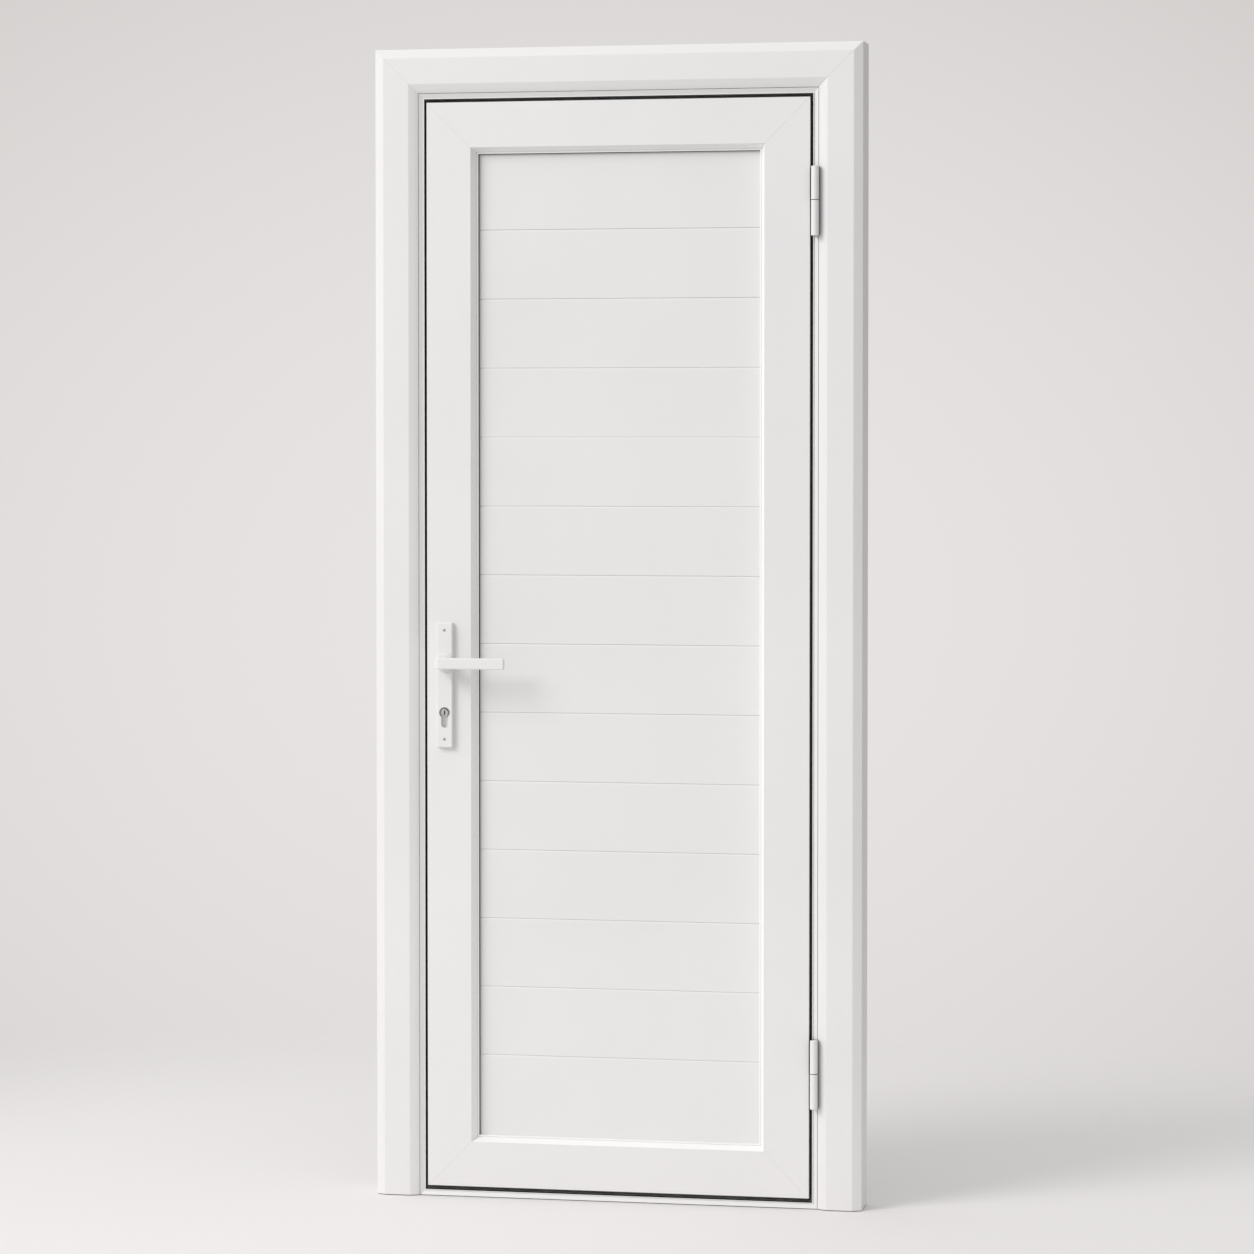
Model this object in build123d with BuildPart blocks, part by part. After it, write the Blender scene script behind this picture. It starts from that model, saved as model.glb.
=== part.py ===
from build123d import *
import math
import os

os.makedirs("parts", exist_ok=True)

# A white PVC door set: a three-sided casing, a four-sided frame with a low threshold, and one leaf
# of mitred bars round a panel of tongued boards, on two lift-off hinges, with a lever handle.
# Millimetres. X runs to the right as seen from the front, Y into the depth, Z up. The origin is on
# the floor, under the middle of the threshold.

# The whole set
set_width = 900.0
set_height = 2100.0
set_depth = 76.0
front_y = -set_depth / 2
back_y = set_depth / 2
half_width = set_width / 2

# Casing section, measured inwards from its outer edge and back from its front
casing_chamfer_width = 16.5
casing_chamfer_depth = 8.25
casing_face = 48.0
casing_bevel_width = 16.75
casing_bevel_depth = 8.0
bevel_turn_width = 11.25
bevel_turn_depth = 4.8
casing_thickness = 22.0
casing_return = 6.0
tongue_width = 2.0
groove_width = 0.8
groove_depth = 6.0
casing_width = casing_chamfer_width + casing_face + casing_bevel_width
casing_back_y = front_y + casing_thickness
lip_y = front_y + casing_bevel_depth
groove_floor_y = lip_y + groove_depth

# Leaf, and the room it needs in the frame
leaf_thickness = 54.0
side_gap = 5.0
top_gap = 6.5
bottom_gap = 8.0
leaf_front_y = lip_y
leaf_back_y = leaf_front_y + leaf_thickness
stop_seal_room = 3.0
stop_cover = 12.0

# Frame section
lip_width = 9.2
nose_width = 2.6
nose_rise = 5.0
nose_round = 1.1
sill_height = 10.0
lip_outer = casing_width + groove_width
lip_inner = lip_outer + lip_width
nose_outer = lip_inner - nose_width
lip_strip_y = lip_y + nose_rise
stop_y = leaf_back_y + stop_seal_room
stop_reach = side_gap + stop_cover
stop_inner = lip_inner + stop_reach
sill_stop_height = sill_height + stop_reach

# Leaf outline
leaf_edge_x = half_width - lip_inner - side_gap
leaf_bottom_z = sill_height + bottom_gap
leaf_top_z = set_height - lip_inner - top_gap
bar_width = 82.5
bar_round = 1.0
lock_edge_taper = 3.0
lock_taper_start = 8.0
bead_width = 8.0
bead_nose = 1.6
bead_depth = 15.25
bead_lip = 1.5
seal_height = 5.0
seal_reveal = 0.7
seal_hidden = 4.0
bead_inner = bar_width + bead_width + bead_nose
panel_inset = bar_width + 3.0

# Boards of the panel
board_pitch = 125.93
first_joint_drop = 231.75
least_board = 60.0
board_joint_gap = 0.3
board_vee = 1.4
tongue_height = 8.0
tongue_thickness = 4.0
tongue_clearance = 0.3
panel_front_y = leaf_front_y + bead_depth + bead_lip + seal_height
panel_back_y = leaf_back_y - bead_depth - bead_lip - seal_height

# Seals of the leaf and the frame
edge_seal_front = 4.0
edge_seal_width = 6.0
edge_seal_proud = 2.0
stop_seal_width = 5.0
stop_seal_gap = 0.8

# Hinges
hinge_axis_out = 10.25
hinge_axis_front = 10.0
knuckle_radius = 7.3
knuckle_gap = 0.8
upper_knuckle = 60.5
lower_knuckle = 64.0
pin_radius = 4.0
pin_clearance = 0.08
pin_reach = 42.0
pin_seat = 30.0
web_from_leaf = 2.35
web_thickness = 1.5
web_start = 5.0
flag_start = 12.0
flag_depth = 34.0
cradle_clearance = 0.5
cradle_wrap = 3.1
cradle_set_back = 3.5
cradle_end_rise = 1.6
upper_split_drop = 185.0
lower_split_rise = 228.0
upper_split_z = leaf_top_z - upper_split_drop
lower_split_z = leaf_bottom_z + lower_split_rise
hinge_x = leaf_edge_x + hinge_axis_out
hinge_y = leaf_front_y - hinge_axis_front

# Lever handle, its plates and the lock
handle_backset = 35.0
lever_z = 981.0
plate_width = 29.0
plate_above = 72.0
plate_below = 155.5
plate_thickness = 11.0
plate_corner = 3.0
plate_edge_bevel = 1.5
rose_radius = 17.0
rose_height = 5.0
neck_radius = 8.0
neck_clearance = 0.08
neck_merge = 3.0
rose_clearance = 0.4
root_width = 19.5
grip_height = 20.5
grip_thickness = 9.5
grip_reach = 120.5
grip_front = 53.0
grip_outer_round = 9.0
grip_inner_round = 6.0
grip_bevel = 2.4
spindle_side = 8.0
spindle_seat = 18.0
spindle_bore = 9.0
cylinder_drop = 92.0
cylinder_radius = 8.5
cylinder_height = 33.0
cylinder_web = 10.0
cylinder_recess = 0.6
cylinder_clearance = 0.2
plate_opening = 1.6
plug_radius = 6.4
plug_length = 20.0
plug_clearance = 0.06
keyway_width = 2.2
keyway_height = 8.2
keyway_depth = 16.0
lock_plate_width = 18.0
lock_plate_height = 240.0
lock_plate_thickness = 3.0
latch_height = 18.0
latch_width = 11.0
latch_length = 26.0
latch_flush = 0.6
latch_z = lever_z + 20.0
strike_height = 150.0
strike_width = 20.0
strike_thickness = 1.5
strike_hole_margin = 2.0
handle_x = -leaf_edge_x + handle_backset
cylinder_z = lever_z - cylinder_drop

# Fixing holes through the uprights
fixing_radius = 5.0
fixing_heights = (200.0, 750.0, 1300.0, 1850.0)
fixing_y = 0.0


def upright(outline, side, edge, low, high):
    """An upright bar: the outline is in pairs of inward distance and Y, side is -1 for the left."""
    with BuildSketch(Plane.XY.offset(low)) as section:
        with BuildLine():
            Polyline(*[(side * (edge - inward), y) for inward, y in outline], close=True)
        make_face()
    extrude(section.sketch, amount=high - low)


def level_bar(outline, side, edge, reach):
    """A level bar: the outline as above, side is 1 under a top edge and -1 over a bottom edge."""
    with BuildSketch(Plane.YZ.offset(-reach)) as section:
        with BuildLine():
            Polyline(*[(y, edge - side * inward) for inward, y in outline], close=True)
        make_face()
    extrude(section.sketch, amount=2 * reach)


def mitre(x, z, kept):
    """Cuts the bar of an open part at 45 degrees, by the plane through the corner at x and z."""
    rise = 1 if z > set_height / 2 else -1
    toward_middle = -1 if x > 0 else 1
    split(bisect_by=Plane(origin=(x, 0, z), z_dir=(toward_middle, 0, rise)), keep=kept)


def upright_edges(part, x, y):
    """The upright edges of a part that stand nearest the point x, y in plan."""
    return part.edges().filter_by(Axis.Z).group_by(
        lambda edge: round(math.hypot(edge.center().X - x, edge.center().Y - y), 2)
    )[0]


def level_edges(part, y, z):
    """The edges of a part along X that lie nearest the point y, z in section."""
    return part.edges().filter_by(Axis.X).group_by(
        lambda edge: round(math.hypot(edge.center().Y - y, edge.center().Z - z), 2)
    )[0]


def save(part, name):
    """Names a finished piece and writes it."""
    part.label = name
    export_step(part, f"parts/{name}.step")


# Casing: an angled cover profile with a chamfered outer edge and an inner edge that falls away in
# two bevels. It wraps the outer side of the frame. The legs stand on the floor, and the head is
# mitred to them.
casing_outline = [
    (0, front_y + casing_chamfer_depth),
    (casing_chamfer_width, front_y),
    (casing_chamfer_width + casing_face, front_y),
    (casing_chamfer_width + casing_face + bevel_turn_width, front_y + bevel_turn_depth),
    (casing_width, lip_y),
    (casing_width, groove_floor_y),
    (casing_width - tongue_width, groove_floor_y),
    (casing_width - tongue_width, casing_back_y),
    (casing_return, casing_back_y),
    (casing_return, back_y),
    (0, back_y),
]


def drill_fixings(side, depth):
    """Drills the wall fixing holes through an upright from its outer side."""
    outer_face = Plane(origin=(side * half_width, 0, 0), x_dir=(0, 1, 0), z_dir=(side, 0, 0))
    with BuildSketch(outer_face) as holes:
        with Locations(*[(fixing_y, side * height) for height in fixing_heights]):
            Circle(fixing_radius)
    extrude(holes.sketch, amount=-depth, mode=Mode.SUBTRACT)


with BuildPart() as casing_left:
    upright(casing_outline, -1, half_width, 0, set_height)
    mitre(-half_width, set_height, Keep.BOTTOM)
    drill_fixings(-1, lip_inner + 1)
save(casing_left.part, "casing_left")

with BuildPart() as casing_right:
    upright(casing_outline, 1, half_width, 0, set_height)
    mitre(half_width, set_height, Keep.BOTTOM)
    drill_fixings(1, lip_inner + 1)
save(casing_right.part, "casing_right")

with BuildPart() as casing_head:
    level_bar(casing_outline, 1, set_height, half_width)
    mitre(-half_width, set_height, Keep.TOP)
    mitre(half_width, set_height, Keep.TOP)
save(casing_head.part, "casing_head")

# Frame: the bars that the leaf closes into. In front they have a sunk strip and then a rounded
# nose level with the leaf, and behind it a stop. The threshold has the same nose and stop, lower,
# and all four corners are mitred.
frame_outline = [
    (casing_return, casing_back_y),
    (casing_width - tongue_width, casing_back_y),
    (casing_width - tongue_width, groove_floor_y),
    (lip_outer, groove_floor_y),
    (lip_outer, lip_strip_y),
    (nose_outer, lip_strip_y),
    (nose_outer, lip_y),
    (lip_inner, lip_y),
    (lip_inner, stop_y),
    (stop_inner, stop_y),
    (stop_inner, back_y),
    (casing_return, back_y),
]
threshold_outline = [
    (0, lip_strip_y),
    (sill_height - nose_width, lip_strip_y),
    (sill_height - nose_width, lip_y),
    (sill_height, lip_y),
    (sill_height, stop_y),
    (sill_stop_height, stop_y),
    (sill_stop_height, back_y),
    (0, back_y),
]
clear_x = half_width - lip_inner
nose_x = half_width - nose_outer
clear_top_z = set_height - lip_inner
lock_edge_middle_y = (leaf_front_y + leaf_back_y) / 2
strike_bottom_z = latch_z - strike_height * 0.55

with BuildPart() as frame_jamb_left:
    upright(frame_outline, -1, half_width, 0, set_height)
    mitre(-half_width, set_height, Keep.BOTTOM)
    mitre(-clear_x, sill_height, Keep.BOTTOM)
    for x in (-clear_x, -nose_x):
        fillet(upright_edges(frame_jamb_left, x, lip_y), nose_round)
    drill_fixings(-1, lip_inner + 1)
    # The strike plate lies flush in the rebate, over a pocket for the latch
    with BuildSketch(Plane(origin=(-clear_x, 0, 0), x_dir=(0, 1, 0), z_dir=(1, 0, 0))):
        with Locations((lock_edge_middle_y, strike_bottom_z + strike_height / 2)):
            Rectangle(strike_width, strike_height)
    extrude(amount=-strike_thickness, mode=Mode.SUBTRACT)
    with BuildSketch(Plane(origin=(-clear_x, 0, 0), x_dir=(0, 1, 0), z_dir=(1, 0, 0))):
        with Locations((lock_edge_middle_y, latch_z)):
            Rectangle(latch_width + 2 * strike_hole_margin, latch_height + 2 * strike_hole_margin)
    extrude(amount=-strike_thickness - latch_width, mode=Mode.SUBTRACT)
save(frame_jamb_left.part, "frame_jamb_left")

with BuildPart() as frame_jamb_right:
    upright(frame_outline, 1, half_width, 0, set_height)
    mitre(half_width, set_height, Keep.BOTTOM)
    mitre(clear_x, sill_height, Keep.BOTTOM)
    for x in (clear_x, nose_x):
        fillet(upright_edges(frame_jamb_right, x, lip_y), nose_round)
    drill_fixings(1, lip_inner + 1)
save(frame_jamb_right.part, "frame_jamb_right")

with BuildPart() as frame_head:
    level_bar(frame_outline, 1, set_height, half_width)
    mitre(-half_width, set_height, Keep.TOP)
    mitre(half_width, set_height, Keep.TOP)
    for z in (clear_top_z, set_height - nose_outer):
        fillet(level_edges(frame_head, lip_y, z), nose_round)
save(frame_head.part, "frame_head")

with BuildPart() as threshold:
    level_bar(threshold_outline, -1, 0, half_width)
    mitre(-clear_x, sill_height, Keep.TOP)
    mitre(clear_x, sill_height, Keep.TOP)
    for z in (sill_height, sill_height - nose_width):
        fillet(level_edges(threshold, lip_y, z), nose_round)
save(threshold.part, "threshold")

with BuildPart() as strike_plate:
    with BuildSketch(Plane(origin=(-clear_x, 0, 0), x_dir=(0, 1, 0), z_dir=(1, 0, 0))):
        with Locations((lock_edge_middle_y, strike_bottom_z + strike_height / 2)):
            Rectangle(strike_width, strike_height)
        with Locations((lock_edge_middle_y, latch_z)):
            Rectangle(latch_width, latch_height, mode=Mode.SUBTRACT)
    extrude(amount=-strike_thickness)
save(strike_plate.part, "strike_plate")

# Frame seal: one straight strip on each of the four stops, behind the leaf, with a thin gap that
# the leaf's back face closes to.
stop_seal_front_y = leaf_back_y + stop_seal_gap
stop_seal_in = stop_reach - stop_cover / 2
with BuildPart() as frame_seal:
    seal_x = clear_x - stop_seal_in
    seal_low = sill_height + stop_seal_in
    seal_high = clear_top_z - stop_seal_in
    with BuildSketch(Plane.XZ.offset(-stop_y)):
        with Locations((-seal_x, (seal_low + seal_high) / 2), (seal_x, (seal_low + seal_high) / 2)):
            Rectangle(stop_seal_width, seal_high - seal_low - 2 * stop_seal_width)
        with Locations((0, seal_low), (0, seal_high)):
            Rectangle(2 * seal_x, stop_seal_width)
    extrude(amount=stop_y - stop_seal_front_y)
save(frame_seal.part, "frame_seal")

# Leaf bars: two stiles and two rails, mitred, with rounded edges. The lock edge tapers towards the
# back, so that the back corner clears the frame as the leaf swings.
leaf_outline = [
    (0, leaf_front_y),
    (bar_width, leaf_front_y),
    (bar_width, leaf_back_y),
    (0, leaf_back_y),
]
lock_edge = Plane(
    origin=(-leaf_edge_x, leaf_front_y + lock_taper_start, 0),
    z_dir=(-(leaf_thickness - lock_taper_start), lock_edge_taper, 0),
)


def euro_profile(growth):
    """The keyhole-shaped outline of a profile cylinder, grown all round, about its round centre."""
    lower = cylinder_height - cylinder_radius - cylinder_web / 2
    Circle(cylinder_radius + growth)
    with Locations((0, -lower / 2)):
        Rectangle(cylinder_web + 2 * growth, lower)
    with Locations((0, -lower)):
        Circle(cylinder_web / 2 + growth)


cylinder_front_y = leaf_front_y - plate_thickness + cylinder_recess
cylinder_back_y = leaf_back_y + plate_thickness - cylinder_recess
lock_plate_z = lever_z - cylinder_drop / 2
lock_plate_x = -leaf_edge_x + lock_edge_taper

with BuildPart() as stile_lock:
    upright(leaf_outline, -1, leaf_edge_x, leaf_bottom_z, leaf_top_z)
    mitre(-leaf_edge_x, leaf_top_z, Keep.BOTTOM)
    mitre(-leaf_edge_x, leaf_bottom_z, Keep.BOTTOM)
    fillet(upright_edges(stile_lock, -leaf_edge_x, leaf_front_y), bar_round)
    split(bisect_by=lock_edge, keep=Keep.BOTTOM)
    # The spindle and the cylinder pass through, and the lock's edge plate lies in a pocket
    with BuildSketch(Plane.XZ.offset(-leaf_back_y)):
        with Locations((handle_x, lever_z)):
            Circle(spindle_bore)
    extrude(amount=leaf_thickness, mode=Mode.SUBTRACT)
    with BuildSketch(Plane(origin=(handle_x, leaf_back_y, cylinder_z), z_dir=(0, -1, 0), x_dir=(1, 0, 0))):
        euro_profile(cylinder_clearance)
    extrude(amount=leaf_thickness, mode=Mode.SUBTRACT)
    with BuildSketch(Plane(origin=(-leaf_edge_x - 1, 0, 0), x_dir=(0, 1, 0), z_dir=(1, 0, 0))):
        with Locations((lock_edge_middle_y, lock_plate_z)):
            Rectangle(lock_plate_width, lock_plate_height)
    extrude(amount=1 + lock_edge_taper + lock_plate_thickness, mode=Mode.SUBTRACT)
    with BuildSketch(Plane(origin=(lock_plate_x, 0, 0), x_dir=(0, 1, 0), z_dir=(1, 0, 0))):
        with Locations((lock_edge_middle_y, latch_z)):
            Rectangle(latch_width, latch_height)
    extrude(amount=latch_length, mode=Mode.SUBTRACT)
save(stile_lock.part, "stile_lock")

with BuildPart() as stile_hinge:
    upright(leaf_outline, 1, leaf_edge_x, leaf_bottom_z, leaf_top_z)
    mitre(leaf_edge_x, leaf_top_z, Keep.BOTTOM)
    mitre(leaf_edge_x, leaf_bottom_z, Keep.BOTTOM)
    fillet(upright_edges(stile_hinge, leaf_edge_x, leaf_front_y), bar_round)
save(stile_hinge.part, "stile_hinge")

with BuildPart() as rail_top:
    level_bar(leaf_outline, 1, leaf_top_z, leaf_edge_x)
    mitre(-leaf_edge_x, leaf_top_z, Keep.TOP)
    mitre(leaf_edge_x, leaf_top_z, Keep.TOP)
    fillet(level_edges(rail_top, leaf_front_y, leaf_top_z), bar_round)
    split(bisect_by=lock_edge, keep=Keep.BOTTOM)
save(rail_top.part, "rail_top")

with BuildPart() as rail_bottom:
    level_bar(leaf_outline, -1, leaf_bottom_z, leaf_edge_x)
    mitre(-leaf_edge_x, leaf_bottom_z, Keep.TOP)
    mitre(leaf_edge_x, leaf_bottom_z, Keep.TOP)
    fillet(level_edges(rail_bottom, leaf_front_y, leaf_bottom_z), bar_round)
    split(bisect_by=lock_edge, keep=Keep.BOTTOM)
save(rail_bottom.part, "rail_bottom")

# Beads: four mitred strips on each face, with a wide bevel down to a thin nose that holds the
# panel's seal. Front and back are alike.
middle_y = (leaf_front_y + leaf_back_y) / 2
front_bead = [
    (bar_width, leaf_front_y),
    (bar_width + bead_width, leaf_front_y + bead_depth),
    (bead_inner, leaf_front_y + bead_depth),
    (bead_inner, leaf_front_y + bead_depth + bead_lip),
    (bar_width, leaf_front_y + bead_depth + bead_lip),
]
back_bead = [(inward, 2 * middle_y - y) for inward, y in front_bead]

for face_name, outline in (("front", front_bead), ("back", back_bead)):
    for side_name, side in (("left", -1), ("right", 1)):
        with BuildPart() as bead_upright:
            upright(outline, side, leaf_edge_x, leaf_bottom_z, leaf_top_z)
            mitre(side * leaf_edge_x, leaf_top_z, Keep.BOTTOM)
            mitre(side * leaf_edge_x, leaf_bottom_z, Keep.BOTTOM)
        save(bead_upright.part, f"bead_{face_name}_{side_name}")
    for side_name, side, edge in (("top", 1, leaf_top_z), ("bottom", -1, leaf_bottom_z)):
        with BuildPart() as bead_level:
            level_bar(outline, side, edge, leaf_edge_x)
            mitre(-leaf_edge_x, edge, Keep.TOP)
            mitre(leaf_edge_x, edge, Keep.TOP)
        save(bead_level.part, f"bead_{face_name}_{side_name}")

# Panel boards: hollow-look planks laid level, each with a tongue on top and a groove below, and a
# shallow vee where two faces meet. The top and bottom boards are wider and run under the beads.
panel_x = leaf_edge_x - panel_inset
panel_low_z = leaf_bottom_z + panel_inset
panel_high_z = leaf_top_z - panel_inset
first_joint_z = leaf_top_z - first_joint_drop
board_joints = int((first_joint_z - panel_low_z - least_board) // board_pitch) + 1
joint_heights = [first_joint_z - board_pitch * step for step in range(board_joints)]
half_tongue = tongue_thickness / 2
with BuildPart() as panel_boards:
    for top, bottom in zip([panel_high_z] + joint_heights, joint_heights + [panel_low_z]):
        high = top - (board_joint_gap / 2 if top < panel_high_z else 0)
        low = bottom + (board_joint_gap / 2 if bottom > panel_low_z else 0)
        with BuildSketch(Plane.YZ.offset(-panel_x)):
            with BuildLine():
                tongue = [(panel_front_y + board_vee, high)]
                if top < panel_high_z:
                    tongue += [
                        (middle_y - half_tongue, high),
                        (middle_y - half_tongue, high + tongue_height),
                        (middle_y + half_tongue, high + tongue_height),
                        (middle_y + half_tongue, high),
                    ]
                groove_half = half_tongue + tongue_clearance
                groove = [(panel_back_y - board_vee, low)]
                if bottom > panel_low_z:
                    groove_top = low + tongue_height + tongue_clearance
                    groove += [
                        (middle_y + groove_half, low),
                        (middle_y + groove_half, groove_top),
                        (middle_y - groove_half, groove_top),
                        (middle_y - groove_half, low),
                    ]
                Polyline(
                    (panel_front_y, high - board_vee),
                    *tongue,
                    (panel_back_y - board_vee, high),
                    (panel_back_y, high - board_vee),
                    (panel_back_y, low + board_vee),
                    *groove,
                    (panel_front_y + board_vee, low),
                    (panel_front_y, low + board_vee),
                    close=True,
                )
            make_face()
        extrude(amount=2 * panel_x)
save(panel_boards.part, "panel_boards")

# Panel seals: thin black strips between each bead's nose and the boards, front and back.
seal_outer = bead_inner - seal_hidden
seal_inner = bead_inner + seal_reveal
with BuildPart() as panel_seals:
    outer_x = leaf_edge_x - seal_outer
    inner_x = leaf_edge_x - seal_inner
    strip = seal_inner - seal_outer
    low_z = leaf_bottom_z + seal_outer
    high_z = leaf_top_z - seal_outer
    for plane_y, reach in ((panel_front_y, seal_height), (panel_back_y, -seal_height)):
        with BuildSketch(Plane.XZ.offset(-plane_y)):
            with Locations((0, low_z + strip / 2), (0, high_z - strip / 2)):
                Rectangle(2 * outer_x, strip)
            middle = (low_z + high_z) / 2
            with Locations((-outer_x + strip / 2, middle), (outer_x - strip / 2, middle)):
                Rectangle(strip, high_z - low_z - 2 * strip - 2 * board_joint_gap)
        extrude(amount=reach)
save(panel_seals.part, "panel_seals")

# Leaf seal: a black strip round the leaf's edge, just behind its front, that darkens the gap.
with BuildPart() as leaf_seal:
    low_z = leaf_bottom_z - edge_seal_proud
    high_z = leaf_top_z + edge_seal_proud
    with BuildSketch(Plane.XZ.offset(-leaf_front_y - edge_seal_front)):
        with Locations((0, leaf_bottom_z - edge_seal_proud / 2), (0, leaf_top_z + edge_seal_proud / 2)):
            Rectangle(2 * leaf_edge_x - 2 * bar_round, edge_seal_proud)
        seal_side_x = leaf_edge_x + edge_seal_proud / 2
        with Locations((-seal_side_x, (low_z + high_z) / 2), (seal_side_x, (low_z + high_z) / 2)):
            Rectangle(edge_seal_proud, leaf_top_z - leaf_bottom_z - 2 * bar_round)
    extrude(amount=-edge_seal_width)
save(leaf_seal.part, "leaf_seal")

# Hinges: the lower knuckle and a cradle along the whole barrel's flank are one piece with the
# frame; the upper knuckle turns in the cradle's hollow, and a thin web takes it past the leaf's
# seal to a flag on the leaf's edge, so that the leaf lifts off its pins.
web_left_x = leaf_edge_x + web_from_leaf
web_right_x = web_left_x + web_thickness
flag_front_y = leaf_front_y + flag_start
flag_back_y = leaf_front_y + flag_depth
cradle_front_y = hinge_y + cradle_set_back
cradle_outer_x = hinge_x + knuckle_radius + cradle_wrap

for hinge_name, split_z in (("lower", lower_split_z), ("upper", upper_split_z)):
    barrel_low = split_z - lower_knuckle
    barrel_high = split_z + upper_knuckle
    with BuildPart() as hinge_frame:
        with BuildSketch(Plane.XY.offset(barrel_low)):
            with Locations((hinge_x, hinge_y)):
                Circle(knuckle_radius)
        extrude(amount=lower_knuckle - knuckle_gap / 2)
        with BuildSketch(Plane.XY.offset(barrel_low)):
            with BuildLine():
                Polyline(
                    (clear_x, lip_y),
                    (hinge_x, hinge_y),
                    (hinge_x + knuckle_radius, cradle_front_y),
                    (cradle_outer_x, cradle_front_y),
                    (half_width - lip_outer, lip_y),
                    (half_width - lip_outer, lip_strip_y),
                    (nose_x, lip_strip_y),
                    (nose_x, lip_y),
                    close=True,
                )
            make_face()
        extrude(amount=barrel_high - barrel_low)
        # Both ends of the flank slant back from the barrel
        flank_top = Plane(origin=(hinge_x + knuckle_radius, 0, barrel_high), z_dir=(cradle_end_rise, 0, 1))
        flank_foot = Plane(origin=(hinge_x + knuckle_radius, 0, barrel_low), z_dir=(cradle_end_rise, 0, -1))
        split(bisect_by=flank_top, keep=Keep.BOTTOM)
        split(bisect_by=flank_foot, keep=Keep.BOTTOM)
        # The leaf's knuckle turns in this hollow
        with BuildSketch(Plane.XY.offset(split_z - knuckle_gap / 2)):
            with Locations((hinge_x, hinge_y)):
                Circle(knuckle_radius + cradle_clearance)
        extrude(amount=upper_knuckle + knuckle_gap, mode=Mode.SUBTRACT)
        with BuildSketch(Plane.XY.offset(split_z - pin_seat)):
            with Locations((hinge_x, hinge_y)):
                Circle(pin_radius)
        extrude(amount=pin_seat, mode=Mode.SUBTRACT)
    save(hinge_frame.part, f"hinge_frame_{hinge_name}")

    with BuildPart() as hinge_leaf:
        with BuildSketch(Plane.XY.offset(split_z + knuckle_gap / 2)):
            with Locations((hinge_x, hinge_y)):
                Circle(knuckle_radius)
            with BuildLine():
                Polyline(
                    (hinge_x - knuckle_radius + 0.1, hinge_y),
                    (web_left_x, hinge_y + web_start),
                    (web_left_x, flag_front_y),
                    (leaf_edge_x, flag_front_y),
                    (leaf_edge_x, flag_back_y),
                    (web_right_x, flag_back_y),
                    (web_right_x, hinge_y),
                    close=True,
                )
            make_face()
        extrude(amount=upper_knuckle - knuckle_gap / 2)
        with BuildSketch(Plane.XY.offset(split_z)):
            with Locations((hinge_x, hinge_y)):
                Circle(pin_radius + pin_clearance)
        extrude(amount=pin_reach, mode=Mode.SUBTRACT)
    save(hinge_leaf.part, f"hinge_leaf_{hinge_name}")

    with BuildPart() as hinge_pin:
        with BuildSketch(Plane.XY.offset(split_z - pin_seat)):
            with Locations((hinge_x, hinge_y)):
                Circle(pin_radius)
        extrude(amount=pin_seat + pin_reach - 2)
    save(hinge_pin.part, f"hinge_pin_{hinge_name}")

# Handle plates: long narrow back plates with rounded corners and a bevelled rim, a round rose
# that the lever turns in, and a hole for the cylinder. The one behind is the same, turned round.
plate_middle_z = lever_z + (plate_above - plate_below) / 2
plate_height = plate_above + plate_below
for face_name, face_y, outward in (("front", leaf_front_y, -1), ("back", leaf_back_y, 1)):
    with BuildPart() as handle_plate:
        with BuildSketch(Plane.XZ.offset(-face_y)):
            with Locations((handle_x, plate_middle_z)):
                RectangleRounded(plate_width, plate_height, plate_corner)
        extrude(amount=-outward * plate_thickness)
        outer_y = face_y + outward * plate_thickness
        rim = handle_plate.faces().filter_by(Axis.Y).sort_by_distance((handle_x, outer_y, plate_middle_z))[0]
        chamfer(rim.edges(), plate_edge_bevel)
        with BuildSketch(Plane.XZ.offset(-face_y)):
            with Locations((handle_x, lever_z)):
                Circle(rose_radius)
        extrude(amount=-outward * (plate_thickness + rose_height))
        with BuildSketch(Plane.XZ.offset(-face_y)):
            with Locations((handle_x, lever_z)):
                Circle(neck_radius + neck_clearance)
        extrude(amount=-outward * (plate_thickness + rose_height), mode=Mode.SUBTRACT)
        with BuildSketch(Plane(origin=(handle_x, face_y, cylinder_z), z_dir=(0, -1, 0), x_dir=(1, 0, 0))):
            euro_profile(plate_opening)
        extrude(amount=-outward * plate_thickness, mode=Mode.SUBTRACT)
    save(handle_plate.part, f"handle_plate_{face_name}")

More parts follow.
